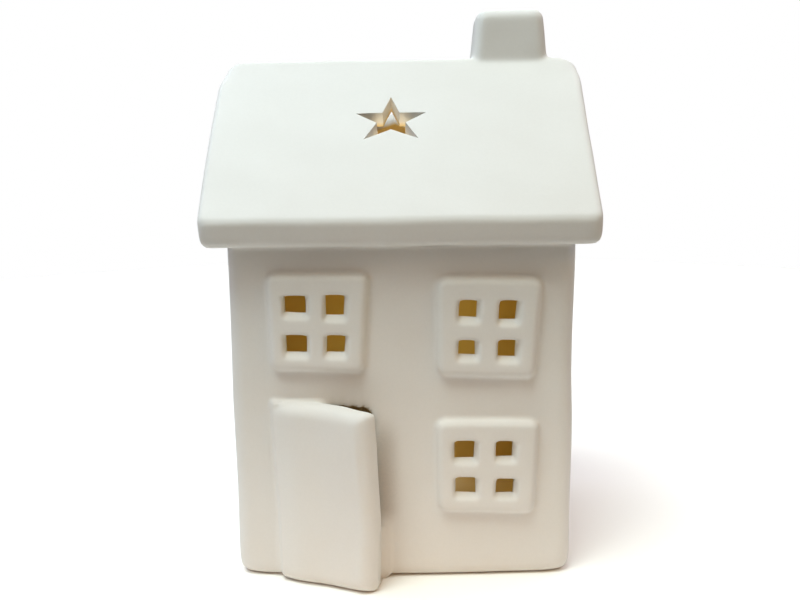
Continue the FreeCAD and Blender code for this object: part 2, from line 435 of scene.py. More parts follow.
def door_plug():
    """Fills the doorway, flush with both faces of the wall."""
    foot, over_head = 10.0, leaf_high.z + 1.0
    near = (leaf_low.x + 4.0, FRONT, foot)
    far = (leaf_high.x, FRONT + WALL, over_head)
    return block("plug", near, far)


def soften(obj, rounds, group=""):
    """Smooths an object's mesh, all of it or a group of its points."""
    smooth = obj.modifiers.new("smooth", "SMOOTH")
    smooth.factor = 0.5
    smooth.iterations = rounds
    smooth.vertex_group = group


def worn_corners():
    """Places that are worn rounder than the rest, each with its reach."""
    inward = 0.6 * DOOR_THICK
    free_x = HINGE.x + DOOR_WIDTH * math.cos(DOOR_AJAR) + inward * math.sin(DOOR_AJAR)
    free_y = HINGE.y - DOOR_WIDTH * math.sin(DOOR_AJAR) + inward * math.cos(DOOR_AJAR)
    nose = EAVE + 2.5
    places = [((free_x, free_y, leaf_high.z), LEAF_TOP_WEAR)]
    places.append(((free_x, free_y - 2.0, 0.0), LEAF_FOOT_WEAR))
    for x in (roof_low.x, roof_high.x):
        places.append(((x, 0.0, APEX), RIDGE_WEAR))
        for y in (-HALF_DEPTH, HALF_DEPTH):
            places.append(((x, y, nose), EAVE_WEAR))
    for x in (-SIDE, SIDE):
        for y in (FRONT, BACK):
            places.append(((x, y, 0.0), WALL_FOOT_WEAR))
    return places


def wear(skin):
    """Softens the whole skin a little, and its worn corners much more."""
    worn = skin.vertex_groups.new(name="worn")
    points = vertex_array(skin.data)
    for place, reach in worn_corners():
        away = np.linalg.norm(points - np.array(place), axis=1)
        share = 1.0 - smoothstep(away, 0.4 * reach, reach)
        for k in np.flatnonzero(share > 0.01):
            worn.add([int(k)], float(share[k]), "REPLACE")
    soften(skin, SMOOTH_ROUNDS)
    soften(skin, WEAR_ROUNDS, worn.name)
    bake(skin)
    skin.vertex_groups.clear()


def fused_skin():
    """All the clay in one closed mesh, its panes only dimples, its stars and doorway filled, softened."""
    copies = {node: clay_copy(node) for node in CLAY}
    wall_plugs = [window_plug(node) for node in WINDOWS] + [door_plug()]
    slab_plugs = [slab_plug(-1, FRONT_STAR_UP), slab_plug(1, REAR_STAR_UP)]
    combine(copies["roof"], slab_plugs, "UNION")
    skin = copies.pop("house_walls")
    combine(skin, list(copies.values()) + wall_plugs, "UNION")
    dimples = joined([pane_dimple(*pane) for node in WINDOWS for pane in PANES[node]])
    combine(skin, [dimples], "DIFFERENCE")
    for obj in wall_plugs + slab_plugs + list(copies.values()) + [dimples]:
        discard(obj)
    remesh = skin.modifiers.new("remesh", "REMESH")
    remesh.mode = "VOXEL"
    remesh.voxel_size = VOXEL
    bake(skin)
    wear(skin)
    return skin


# Crisp cuts


def star_cutter(side, up):
    """A star through the slab, narrowing a little on its way."""
    beyond = 3.0
    outlines = []
    for depth in (-beyond, SLAB + beyond):
        size = 1.0 - STAR_DRAFT * depth
        points = [(STAR_X + size * x, up + size * y) for x, y in STAR]
        outlines.append([slope_point(across, along, side, depth) for across, along in points])
    return loft("cutter", outlines)


def pane_place(x, z):
    """Where a pane has to be cut for its centre to come to x, z once the house is warped."""
    face = FRONT - FRAME_PROUD
    shift = warp(np.array([[x, face, z]]))[0] - (x, face, z)
    return x - shift[0], z - shift[2]


def pane_ring(x, z, width, height, y, grow, wobble=((0.0, 0.0),) * 4):
    """The corners of a pane's outline at one depth; grow is left, right, lower and upper."""
    left, right, lower, upper = grow
    x0, x1 = x - width / 2.0 - left, x + width / 2.0 + right
    z0, z1 = z - height / 2.0 - lower, z + height / 2.0 + upper
    corners = [(x0, z0), (x1, z0), (x1, z1), (x0, z1)]
    return [(cx + dx, y, cz + dz) for (cx, cz), (dx, dz) in zip(corners, wobble)]


def pane_dimple(x, z, width, height):
    """The flared mouth of a pane in the frame's face, before the clay is softened."""
    px, pz = pane_place(x, z)
    face = FRONT - FRAME_PROUD
    flare = np.array(MOUTH_FLARE)
    before, behind = 1.0, 1.0
    outlines = [
        pane_ring(px, pz, width, height, face - before, flare * (1.0 + before / MOUTH_DEPTH)),
        pane_ring(px, pz, width, height, face + MOUTH_DEPTH + behind, -flare * behind / MOUTH_DEPTH),
    ]
    return loft("dimple", outlines)


def pane_cutter(x, z, width, height, wobble):
    """One pane's hole, a little out of square, its lower face falling away behind the mouth."""
    px, pz = pane_place(x, z)
    before = FRONT - 5.0
    mouth_end = FRONT - FRAME_PROUD + MOUTH_DEPTH
    behind, fall = mouth_end + 7.0, 3.2
    outlines = []
    for y, lower in ((before, 0.0), (mouth_end, 0.0), (behind, fall)):
        outlines.append(pane_ring(px, pz, width, height, y, (0.0, 0.0, lower, 0.0), wobble))
    return loft("cutter", outlines)


def doorway_cutter():
    """The doorway, its torn head slanting down into the house."""
    before, behind = 0.4, 1.0
    outlines = []
    for depth in (-before, WALL + behind):
        sink = HEAD_SLANT * depth / WALL
        outlines.append([(x, FRONT + depth, z - sink if z > STEP_HEIGHT else z) for x, z in DOORWAY])
    return loft("cutter", outlines)


def crisp_cutters():
    """All the crisp cuts as one object; the panes are drawn a little out of square."""
    rng = np.random.default_rng(11)
    cutters = [star_cutter(-1, FRONT_STAR_UP), star_cutter(1, REAR_STAR_UP), doorway_cutter()]
    for node in WINDOWS:
        for pane in PANES[node]:
            wobble = rng.uniform(-PANE_WOBBLE, PANE_WOBBLE, (4, 2))
            cutters.append(pane_cutter(*pane, wobble))
    return joined(cutters)


# The borders between the pieces


def below_roof():
    """The walls' share of the space: under the soffits, and the gables up to the slab."""
    low = block("region", (-SIDE - 3.0, FRONT - 3.4, -1.0), (SIDE + 3.0, BACK + 3.4, EAVE - ROOF_SEAM))
    under = UNDER_APEX - ROOF_SEAM
    shoulder = under - BACK * math.tan(PITCH)
    outline = [(FRONT, EAVE - 2.0), (FRONT, shoulder), (0.0, under), (BACK, shoulder), (BACK, EAVE - 2.0)]
    points = [(-SIDE - 0.5, y, z) for y, z in outline]
    gables = prism("region", points, (2.0 * SIDE + 1.0, 0.0, 0.0))
    combine(low, [gables], "UNION")
    discard(gables)
    return low


def chimney_region():
    """The stack with a margin, down to the roof's two slopes and just into them."""
    margin = 1.5
    y0, y1 = chimney_low.y - margin, chimney_high.y + margin
    top = chimney_high.z + 5.0
    ridge = APEX - SEAM / math.cos(PITCH)
    outline = [(y0, ridge + y0), (0.0, ridge), (y1, ridge - y1), (y1, top), (y0, top)]
    x0, x1 = chimney_low.x - margin, chimney_high.x + margin
    return prism("region", [(x0, y, z) for y, z in outline], (x1 - x0, 0.0, 0.0))


def step_region():
    """Behind the door leaf's inner face, in front of the wall and just into it."""
    along = Vector((math.cos(DOOR_AJAR), -math.sin(DOOR_AJAR)))
    inward = Vector((math.sin(DOOR_AJAR), math.cos(DOOR_AJAR)))
    seam = 0.8 * SEAM
    start = (DOOR_THICK * math.cos(DOOR_AJAR) - seam) / math.sin(DOOR_AJAR)
    near = HINGE + start * along + DOOR_THICK * inward
    far = HINGE + 45.0 * along + DOOR_THICK * inward
    right = step_high.x + 1.0
    outline = [(near.x, near.y), (far.x, far.y), (right + 20.0, far.y), (right, FRONT + seam)]
    return prism("region", [(x, y, -1.0) for x, y in outline], (0.0, 0.0, STEP_HEIGHT + 1.8))


def leaf_region():
    """The swung leaf with its root, just into the wall where it is luted on."""
    left = HINGE.x - 1.0
    root = HINGE.x + DOOR_THICK / math.sin(DOOR_AJAR) + 0.5
    outline = [
        (left, FRONT + SEAM),
        (left, leaf_low.y - 5.0),
        (leaf_high.x + 3.0, leaf_low.y - 5.0),
        (leaf_high.x + 3.0, FRONT - SEAM),
        (root, FRONT - SEAM),
        (root, FRONT + SEAM),
    ]
    return prism("region", [(x, y, -1.0) for x, y in outline], (0.0, 0.0, leaf_high.z + 3.0))


def regions():
    """The border solid of each clay piece."""
    made = {}
    around, before = 1.3, 6.0
    for node in WINDOWS:
        low, high = box_mm(node)
        near = (low.x - around, FRONT - before, low.z - around)
        far = (high.x + around, FRONT + SEAM, high.z + around)
        made[node] = block("region", near, far)
    made["door_step"] = step_region()
    made["door_leaf"] = leaf_region()
    inner = WALL + 1.8
    floor_low = (-SIDE + inner, FRONT + inner, -1.0)
    floor_high = (SIDE - inner, BACK - inner, FLOOR + 3.0)
    made["base_floor"] = block("region", floor_low, floor_high)
    made["chimney"] = chimney_region()
    walls = below_roof()
    roof = block("region", (-60.0, -60.0, EAVE - ROOF_SEAM), (60.0, 60.0, 160.0))
    made["roof"] = combine(roof, [walls, made["chimney"]], "DIFFERENCE")
    others = WINDOWS + ["door_step", "door_leaf", "base_floor"]
    made["house_walls"] = combine(walls, [made[node] for node in others], "DIFFERENCE")
    combine(made["door_leaf"], [made["door_step"]], "DIFFERENCE")
    return made


# Handmade irregularity


def ripple(p, seed, wavelength, amplitude):
    """A smooth random displacement of points: a few plane waves in random directions."""
    rng = np.random.default_rng(seed)
    moved = np.zeros_like(p)
    count = 10
    for _ in range(count):
        direction = rng.normal(size=3)
        direction /= np.linalg.norm(direction)
        length = wavelength * rng.uniform(0.7, 1.5)
        phase = p @ direction * (2.0 * math.pi / length) + rng.uniform(0.0, 2.0 * math.pi)
        push = rng.normal(size=3)
        moved += np.sin(phase)[:, None] * push[None, :] / np.linalg.norm(push)
    return moved * amplitude / math.sqrt(count)


def nudge_windows(p, moved):
    """Each frame's corners are pulled a little off the true place, and the wall about it follows."""
    near_front = 1.0 - smoothstep(p[:, 1], FRONT + WALL + 0.5, FRONT + WALL + 3.0)
    for node in WINDOWS:
        low, high = box_mm(node)
        u = (p[:, 0] - low.x) / (high.x - low.x)
        v = (p[:, 2] - low.z) / (high.z - low.z)
        off_x = np.maximum(np.maximum(low.x - p[:, 0], p[:, 0] - high.x), 0.0)
        off_z = np.maximum(np.maximum(low.z - p[:, 2], p[:, 2] - high.z), 0.0)
        weight = (1.0 - smoothstep(np.hypot(off_x, off_z), 0.0, 5.0)) * near_front
        u = np.clip(u, 0.0, 1.0)
        v = np.clip(v, 0.0, 1.0)
        shares = [(1 - u) * (1 - v), u * (1 - v), u * v, (1 - u) * v]
        for share, (dx, dz) in zip(shares, FRAME_NUDGES[node]):
            moved[:, 0] += dx * share * weight
            moved[:, 2] += dz * share * weight


def belly(p, moved):
    """The front wall bellies out between its corners, most of all at its foot."""
    across = np.clip(1.0 - (p[:, 0] / SIDE) ** 2, 0.0, 1.0)
    height = 1.0 - 0.8 * smoothstep(p[:, 2], 0.0, EAVE)
    under_eave = 1.0 - smoothstep(p[:, 2], EAVE - 8.0, EAVE + 2.0)
    before_wall = np.clip((FRONT - p[:, 1]) / 11.0, 0.0, 1.0)
    at_front = smoothstep(-p[:, 1], 8.0, 28.0) * (1.0 - before_wall)
    moved[:, 1] -= BELLY * across * height * under_eave * at_front


def slump_leaf(p, moved):
    """The leaf's hinge edge stands proud of the wall, and its free edge has slumped and come in."""
    below_head = 1.0 - smoothstep(p[:, 2], leaf_high.z - 0.3, leaf_high.z + 0.6)
    in_front = 1.0 - smoothstep(p[:, 1], FRONT + 0.5, FRONT + 2.0)
    x = p[:, 0] - HINGE.x - LEAF_LEAN * (1.1 - p[:, 2] / leaf_high.z)
    proud = smoothstep(x, -0.5, 0.4) * (1.0 - smoothstep(x, 3.0, 14.0))
    moved[:, 1] -= LEAF_PROUD * proud * below_head * in_front
    out = np.clip((FRONT - 1.5 - p[:, 1]) / (FRONT - leaf_low.y), 0.0, 1.0)
    before = out * (p[:, 0] < leaf_high.x + 3.0) * below_head
    moved[:, 0] -= (LEAF_IN + LEAF_IN_TOP * smoothstep(p[:, 2], 14.0, leaf_high.z)) * before
    moved[:, 0] -= LEAF_IN_FOOT * (1.0 - smoothstep(p[:, 2], 2.0, 20.0)) * before
    moved[:, 2] -= LEAF_DROOP * before**2 * smoothstep(p[:, 2], 34.0, leaf_high.z)


def shorten_step(p, moved):
    """The step's free end stops a little short."""
    in_front = smoothstep(FRONT - p[:, 1], 0.2, 1.2)
    low = 1.0 - smoothstep(p[:, 2], STEP_HEIGHT + 0.5, STEP_HEIGHT + 2.5)
    right = smoothstep(p[:, 0], leaf_high.x - 0.5, leaf_high.x + 1.0)
    moved[:, 0] -= STEP_SHY * in_front * low * right * (p[:, 0] < step_high.x + 2.0)


def round_ridge_ends(p, moved):
    """The ridge's two ends are worn round."""
    from_below = smoothstep(p[:, 2], APEX - 9.0, APEX - 1.0)
    near_ridge = from_below * (1.0 - smoothstep(p[:, 2], APEX, APEX + 1.5))
    at_end = smoothstep(np.abs(p[:, 0]), roof_high.x - 6.0, roof_high.x + 1.0)
    moved[:, 2] -= RIDGE_DOWN * near_ridge * at_end
    moved[:, 0] += np.where(p[:, 0] < 0.0, RIDGE_IN_LEFT, -RIDGE_IN_RIGHT) * near_ridge * at_end


def warp(p):
    """Where each point of the true shape lies on this handmade one."""
    moved = ripple(p, seed=3, wavelength=46.0, amplitude=0.28)
    moved += ripple(p, seed=8, wavelength=17.0, amplitude=0.09)
    nudge_windows(p, moved)
    belly(p, moved)
    slump_leaf(p, moved)
    shorten_step(p, moved)
    round_ridge_ends(p, moved)
    # It stands flat on its foot
    settled = smoothstep(p[:, 2], 0.2, 6.0)
    moved[:, 2] *= settled
    placed = p + moved
    low, high = np.array(cad_box[0]) * MM, np.array(cad_box[1]) * MM
    return np.clip(placed, low, high)


# Attributes


def inside_share(p):
    """0 on the outer faces, 1 on the faces of the chamber, in between within the walls."""
    depth = [
        (SIDE - np.abs(p[:, 0])) / WALL,
        (BACK - np.abs(p[:, 1])) / WALL,
        (APEX - np.abs(p[:, 1]) * math.tan(PITCH) - p[:, 2]) * math.cos(PITCH) / SLAB,
        p[:, 2] / FLOOR,
    ]
    return np.clip(np.min(depth, axis=0), 0.0, 1.0)


def doorway_painted_shade(p):
    """How much brown shade is painted: 1 on the doorway's reveal, less on its rim and on the wall at its
    right, 0 elsewhere.
    """
    low_x, high_x = DOORWAY[0][0], DOORWAY[1][0]
    head = np.interp(p[:, 0], *np.array(DOORWAY[:1:-1]).T)
    off_x = np.maximum(np.maximum(low_x - p[:, 0], p[:, 0] - high_x), 0.0)
    off_z = np.maximum(np.maximum(STEP_HEIGHT + 1.0 - p[:, 2], p[:, 2] - head), 0.0)
    away = np.hypot(off_x, off_z)
    # The dark reveal and rim are painted shade, and so is the brown strip on the wall beside the leaf
    reveal = smoothstep(p[:, 1], FRONT - 0.3, FRONT) * (away < 0.12)
    rim = RIM_SHADE * np.exp(-away / RIM_REACH)
    beside = p[:, 0] - high_x
    side_shade = SIDE_SHADE * smoothstep(beside, 0.2, 1.2) * (1.0 - smoothstep(beside, 2.8, 8.0))
    over_step = smoothstep(p[:, 2], STEP_HEIGHT, STEP_HEIGHT + 5.0)
    side_shade *= over_step * (1.0 - smoothstep(p[:, 2], 34.0, 44.0))
    outside = np.maximum(rim, side_shade) * smoothstep(p[:, 1], FRONT - 0.8, FRONT - 0.3)
    return np.maximum(reveal, outside) * (p[:, 1] < FRONT + WALL + 1.5)


def add_attribute(mesh, name, values):
    """A number for each point, for the material to read."""
    layer = mesh.attributes.new(name, "FLOAT", "POINT")
    layer.data.foreach_set("value", values.astype(np.float32))


# Materials


def node_tree(name):
    """A new material with its tree and shader."""
    material = bpy.data.materials.new(name)
    material.use_nodes = True
    tree = material.node_tree
    return material, tree, tree.nodes["Principled BSDF"]


def add(tree, kind, links=None, **values):
    """A node; links gives each input a value or another node's output."""
    node = tree.nodes.new(kind)
    for key, value in values.items():
        setattr(node, key, value)
    for socket, source in (links or {}).items():
        if isinstance(source, bpy.types.NodeSocket):
            tree.links.new(source, node.inputs[socket])
        else:
            node.inputs[socket].default_value = source
    return node


def noise(tree, coords, scale, detail, roughness=0.5):
    """A noise, around 0.5."""
    links = {"Vector": coords, "Scale": scale, "Detail": detail, "Roughness": roughness}
    return add(tree, "ShaderNodeTexNoise", links).outputs["Fac"]


def ramp(tree, factor, *stops):
    """A colour ramp with these positions and colours."""
    node = add(tree, "ShaderNodeValToRGB", {"Fac": factor})
    elements = node.color_ramp.elements
    while len(elements) < len(stops):
        elements.new(0.5)
    for element, (position, color) in zip(elements, stops):
        element.position = position
        element.color = color if len(color) == 4 else (*color, 1.0)
    return node.outputs["Color"]


def blend(tree, factor, a, b, mode="MIX"):
    """Two colours mixed by a factor."""
    node = add(tree, "ShaderNodeMix", data_type="RGBA", blend_type=mode)
    for socket, source in (("Factor", factor), ("A", a), ("B", b)):
        found = [s for s in node.inputs if s.name == socket and s.enabled][0]
        if isinstance(source, bpy.types.NodeSocket):
            tree.links.new(source, found)
        else:
            found.default_value = source
    return [s for s in node.outputs if s.enabled][0]


def ranged(tree, value, low, high):
    """A value from 0 to 1 brought between low and high."""
    links = {"Value": value, "To Min": low, "To Max": high}
    return add(tree, "ShaderNodeMapRange", links).outputs["Result"]


def bump(tree, height, distance, below=None):
    """A normal raised by a height, on top of another."""
    links = {"Height": height, "Distance": distance, "Strength": 1.0}
    if below is not None:
        links["Normal"] = below
    return add(tree, "ShaderNodeBump", links).outputs["Normal"]


def grey(value):
    """An opaque grey."""
    return (value, value, value, 1.0)


def bisque_material():
    """White bisque, painted inside the house with the dim warm light that falls there, and painted with
    brown shade about the doorway.
    """
    material, tree, shader = node_tree("bisque")
    coords = add(tree, "ShaderNodeTexCoord").outputs["Object"]
    clouds = noise(tree, coords, 42.0, 3.0)
    tone = ramp(tree, clouds, (0.3, (0.715, 0.682, 0.630)), (0.7, (0.735, 0.706, 0.656)))
    grain = noise(tree, coords, 1500.0, 2.0, 0.6)
    tone = blend(tree, 0.2, tone, ramp(tree, grain, (0.35, grey(0.93)), (0.65, grey(1.0))), "MULTIPLY")
    inside = add(tree, "ShaderNodeAttribute", attribute_name="inside").outputs["Fac"]
    # Painted light: the faces inside the house are painted a dim warm brown, the colour of the light
    # within it, not of the clay
    inner_light_share = ramp(tree, inside, (0.7, grey(0.0)), (0.97, grey(1.0)))
    painted_inner_light = ramp(tree, clouds, (0.3, (0.72, 0.52, 0.20)), (0.7, (0.78, 0.58, 0.25)))
    color = blend(tree, inner_light_share, tone, painted_inner_light)
    # Painted shade: the doorway's reveal, its rim and the wall beside the leaf are darkened to brown
    doorway_shade = add(tree, "ShaderNodeAttribute", attribute_name="doorway_shade").outputs["Fac"]
    painted_shade_color = ramp(tree, grain, (0.35, (0.13, 0.075, 0.025)), (0.65, (0.20, 0.125, 0.045)))
    color = blend(tree, doorway_shade, color, painted_shade_color)
    tree.links.new(color, shader.inputs["Base Color"])
    tree.links.new(ranged(tree, noise(tree, coords, 300.0, 3.0), 0.52, 0.72), shader.inputs["Roughness"])
    soft = bump(tree, noise(tree, coords, 130.0, 2.0), 0.00010)
    fine = bump(tree, grain, 0.000008, soft)
    tree.links.new(fine, shader.inputs["Normal"])
    shader.inputs["Specular IOR Level"].default_value = 0.35
    return material


def aluminium_material():
    """Rolled aluminium, its streaks along the cup's height."""
    material, tree, shader = node_tree("cup_aluminium")
    coords = add(tree, "ShaderNodeTexCoord").outputs["Object"]
    streaks = add(tree, "ShaderNodeMapping", {"Vector": coords, "Scale": (1.0, 1.0, 0.06)}).outputs[0]
    rolled = noise(tree, streaks, 2600.0, 3.0)
    handling = noise(tree, coords, 240.0, 4.0)
    color = ramp(tree, handling, (0.3, (0.74, 0.74, 0.75)), (0.7, (0.86, 0.86, 0.87)))
    tree.links.new(color, shader.inputs["Base Color"])
    tree.links.new(ranged(tree, rolled, 0.22, 0.42), shader.inputs["Roughness"])
    tree.links.new(bump(tree, rolled, 0.00001), shader.inputs["Normal"])
    shader.inputs["Metallic"].default_value = 1.0
    return material


def tin_material():
    """Tin plate with a fine spangle."""
    material, tree, shader = node_tree("sustainer_tin")
    coords = add(tree, "ShaderNodeTexCoord").outputs["Object"]
    spangle = add(tree, "ShaderNodeTexVoronoi", {"Vector": coords, "Scale": 700.0}).outputs["Color"]
    color = blend(tree, 0.12, (0.60, 0.60, 0.61, 1.0), spangle, "OVERLAY")
    tree.links.new(color, shader.inputs["Base Color"])
    tree.links.new(ranged(tree, noise(tree, coords, 900.0, 3.0), 0.3, 0.5), shader.inputs["Roughness"])
    tree.links.new(bump(tree, noise(tree, coords, 1800.0, 2.0), 0.00001), shader.inputs["Normal"])
    shader.inputs["Metallic"].default_value = 1.0
    return material


def wax_material():
    """White paraffin wax that lets some light in."""
    material, tree, shader = node_tree("paraffin_wax")
    coords = add(tree, "ShaderNodeTexCoord").outputs["Object"]
    clouds = noise(tree, coords, 180.0, 4.0)
    color = ramp(tree, clouds, (0.3, (0.82, 0.80, 0.73)), (0.7, (0.90, 0.885, 0.83)))
    tree.links.new(color, shader.inputs["Base Color"])
    tree.links.new(ranged(tree, noise(tree, coords, 420.0, 3.0), 0.34, 0.5), shader.inputs["Roughness"])
    tree.links.new(bump(tree, noise(tree, coords, 500.0, 4.0), 0.00006), shader.inputs["Normal"])
    shader.inputs["Subsurface Weight"].default_value = 0.6
    shader.inputs["Subsurface Radius"].default_value = (1.0, 0.8, 0.55)
    shader.inputs["Subsurface Scale"].default_value = 0.003
    return material


def cotton_material():
    """Cotton, stiff with wax."""
    material, tree, shader = node_tree("waxed_cotton")
    coords = add(tree, "ShaderNodeTexCoord").outputs["Object"]
    fibres = noise(tree, coords, 5200.0, 3.0)
    color = ramp(tree, fibres, (0.3, (0.70, 0.66, 0.56)), (0.7, (0.88, 0.85, 0.77)))
    tree.links.new(color, shader.inputs["Base Color"])
    tree.links.new(ranged(tree, fibres, 0.6, 0.85), shader.inputs["Roughness"])
    tree.links.new(bump(tree, fibres, 0.00004), shader.inputs["Normal"])
    shader.inputs["Sheen Weight"].default_value = 0.25
    return material


def floor_material():
    """A matt, warm white."""
    material, tree, shader = node_tree("pale_floor")
    coords = add(tree, "ShaderNodeTexCoord").outputs["Object"]
    clouds = noise(tree, coords, 3.0, 2.0)
    color = ramp(tree, clouds, (0.3, (0.935, 0.900, 0.845)), (0.7, (0.945, 0.910, 0.860)))
    tree.links.new(color, shader.inputs["Base Color"])
    tree.links.new(ranged(tree, noise(tree, coords, 30.0, 3.0), 0.85, 0.95), shader.inputs["Roughness"])
    shader.inputs["Specular IOR Level"].default_value = 0.0
    return material


# The clay pieces


def point_keys(co):
    """A whole number for each point, the same for points in the same hundredth of a millimetre."""
    steps = np.round(co * 100.0).astype(np.int64) + (1 << 20)
    return (steps[:, 0] << 42) | (steps[:, 1] << 21) | steps[:, 2]


def skin_normals(skin):
    """The warped skin's vertices, vertex normals, faces and look-ups."""
    mesh = skin.data
    co = warp(vertex_array(mesh))
    set_vertices(mesh, co)
    normals = fetched_vectors(mesh.vertex_normals, "vector")
    faces = [tuple(f.vertices) for f in mesh.polygons]
    surface = BVHTree.FromPolygons(co.tolist(), faces)
    keys = point_keys(co)
    order = np.argsort(keys)
    return co, normals, faces, (keys[order], order), surface


def lend_normals(mesh, co, skin_data, skin_index):
    """Gives faces that lie on the skin its normals, so that no border between pieces shows."""
    skin_co, skin_vn, skin_faces, (keys, order), surface = skin_data
    corner_vertex = fetched(mesh.loops, "vertex_index")
    totals = fetched(mesh.polygons, "loop_total")
    corner_face = np.repeat(np.arange(len(mesh.polygons)), totals)
    on_skin = fetched(mesh.polygons, "material_index") == skin_index
    soft = on_skin[corner_face]
    used = np.unique(corner_vertex[soft])
    wanted = point_keys(co)
    place = np.minimum(np.searchsorted(keys, wanted), len(keys) - 1)
    lent = skin_vn[order[place]]
    kept = keys[place] == wanted
    for k in used[~kept[used]]:
        spot, _, face, _ = surface.find_nearest(Vector(co[k]))
        ring = skin_faces[face]
        gaps = np.linalg.norm(skin_co[list(ring)] - np.array(spot), axis=1)
        weights = 1.0 / np.maximum(gaps, 1e-6)
        normal = (skin_vn[list(ring)] * weights[:, None]).sum(0)
        lent[k] = normal / np.linalg.norm(normal)
    normals = fetched_vectors(mesh.polygon_normals, "vector")[corner_face]
    normals[soft] = lent[corner_vertex[soft]]
    mesh.normals_split_custom_set(normals.tolist())


def finish_clay(mesh, skin_data, skin_mark, material):
    """Warps a piece's mesh, lends it the skin's normals, and gives it its attributes and material."""
    true_co = vertex_array(mesh)
    co = warp(true_co)
    set_vertices(mesh, co)
    lend_normals(mesh, co, skin_data, mesh.materials.find(skin_mark.name))
    # Where the material paints the warm light inside the house
    add_attribute(mesh, "inside", inside_share(true_co))
    # Where the material paints brown shade about the doorway
    add_attribute(mesh, "doorway_shade", doorway_painted_shade(true_co))
    mesh.materials.clear()
    mesh.materials.append(material)
    mesh.polygons.foreach_set("material_index", np.zeros(len(mesh.polygons), np.int32))
    mesh.transform(Matrix.Scale(1.0 / MM, 4))


def clay_pieces(material):
    """One mesh for each clay piece, in place of its CAD node."""
    # A material on each source tells the faces of the skin, the cuts and the borders apart
    skin_mark = bpy.data.materials.new("mark_skin")
    cut_mark = bpy.data.materials.new("mark_cut")
    cap_mark = bpy.data.materials.new("mark_cap")
    skin = paint(fused_skin(), skin_mark)
    cutters = paint(crisp_cutters(), cut_mark)
    cut = link("work_cut", skin.data.copy())
    combine(cut, [cutters], "DIFFERENCE")
    skin_data = skin_normals(skin)
    for node, region in regions().items():
        piece = link(node + "_bisque", cut.data.copy())
        combine(piece, [paint(region, cap_mark)], "INTERSECT")
        discard(region)
        finish_clay(tidy_faces(piece.data), skin_data, skin_mark, material)
        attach(piece, "root")
        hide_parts(node)
    for obj in (skin, cut, cutters):
        discard(obj)
    for mark in (skin_mark, cut_mark, cap_mark):
        bpy.data.materials.remove(mark)


# The tealight


def turned(name, profile, segments, shape=None):
    """A closed solid of revolution about the tealight's axis, from radius and height pairs."""
    axis_x = (cup_low.x + cup_high.x) / 2.0
    axis_y = (cup_low.y + cup_high.y) / 2.0
    bm = bmesh.new()
    rings = []
    for r, z in profile:
        if r < 1e-6:
            rings.append([bm.verts.new((axis_x, axis_y, cup_low.z + z))])
            continue
        ring = []
        for k in range(segments):
            turn = 2.0 * math.pi * k / segments
            radius, height = shape(r, z, turn) if shape else (r, z)
            x = axis_x + radius * math.cos(turn)
            y = axis_y + radius * math.sin(turn)
            ring.append(bm.verts.new((x, y, cup_low.z + height)))
        rings.append(ring)
    for a, b in zip(rings, rings[1:] + rings[:1]):
        if len(a) == 1 and len(b) == 1:
            continue
        for k in range(segments):
            n = (k + 1) % segments
            corners = [a[k % len(a)], a[n % len(a)], b[n % len(b)], b[k % len(b)]]
            bm.faces.new(list(dict.fromkeys(corners)))
    bmesh.ops.recalc_face_normals(bm, faces=bm.faces)
    for face in bm.faces:
        face.smooth = True
    bm.transform(Matrix.Scale(1.0 / MM, 4))
    return from_bmesh(name, bm)


def dense(points, step):
    """A profile with points no further apart than a step."""
    filled = []
    for (r0, z0), (r1, z1) in zip(points, points[1:]):
        count = max(1, int(math.ceil(math.hypot(r1 - r0, z1 - z0) / step)))
        filled += [(r0 + (r1 - r0) * k / count, z0 + (z1 - z0) * k / count) for k in range(count)]
    return filled + [points[-1]]


def arc(cx, cz, radius, start, end, count):
    """Points on an arc, angles in degrees from the outward axis."""
    turns = [math.radians(start + (end - start) * k / count) for k in range(count + 1)]
    return [(cx + radius * math.cos(t), cz + radius * math.sin(t)) for t in turns]


def cup_piece():
    """The drawn cup: fine pleats up its side, a stepped bottom and a rolled rim."""
    rim = (cup_high.x - cup_low.x) / 2.0
    height = cup_high.z - cup_low.z
    side = rim - CUP_BEAD
    curl, lip = 0.42, 0.25
    corner, inner_corner, rounding_top = 1.2, 0.9, 1.3
    outer = [(0.0, 0.55), (7.0, 0.55), (7.5, 0.15), (9.0, 0.0), (16.6, 0.0)]
    outer += arc(side - corner, corner, corner, -80.0, 0.0, 6)
    outer += [(side, height - 1.3)]
    outer += arc(rim - curl, height - curl, curl, -90.0, 90.0, 8)
    inner = arc(side - CUP_WALL + lip, height - lip, lip, 90.0, 180.0, 4)
    inner += [(side - CUP_WALL, rounding_top)]
    inner += arc(side - CUP_WALL - inner_corner, rounding_top, inner_corner, 0.0, -90.0, 6)
    inner += [(0.0, CUP_WALL)]
    profile = dense(outer + inner, 0.9)

    def pleat(r, z, turn):
        """The side drawn in between the pleats."""
        on_side = max(0.0, min(1.0, (z - 1.6) / 1.5)) * max(0.0, min(1.0, (height - 1.6 - z) / 1.2))
        wave = 0.5 - 0.5 * math.cos(PLEATS * turn)
        return (r - PLEAT_DEPTH * wave * on_side if r > side - CUP_WALL - 0.2 else r), z

    return turned("tealight_cup_aluminium", profile, 8 * PLEATS, pleat)


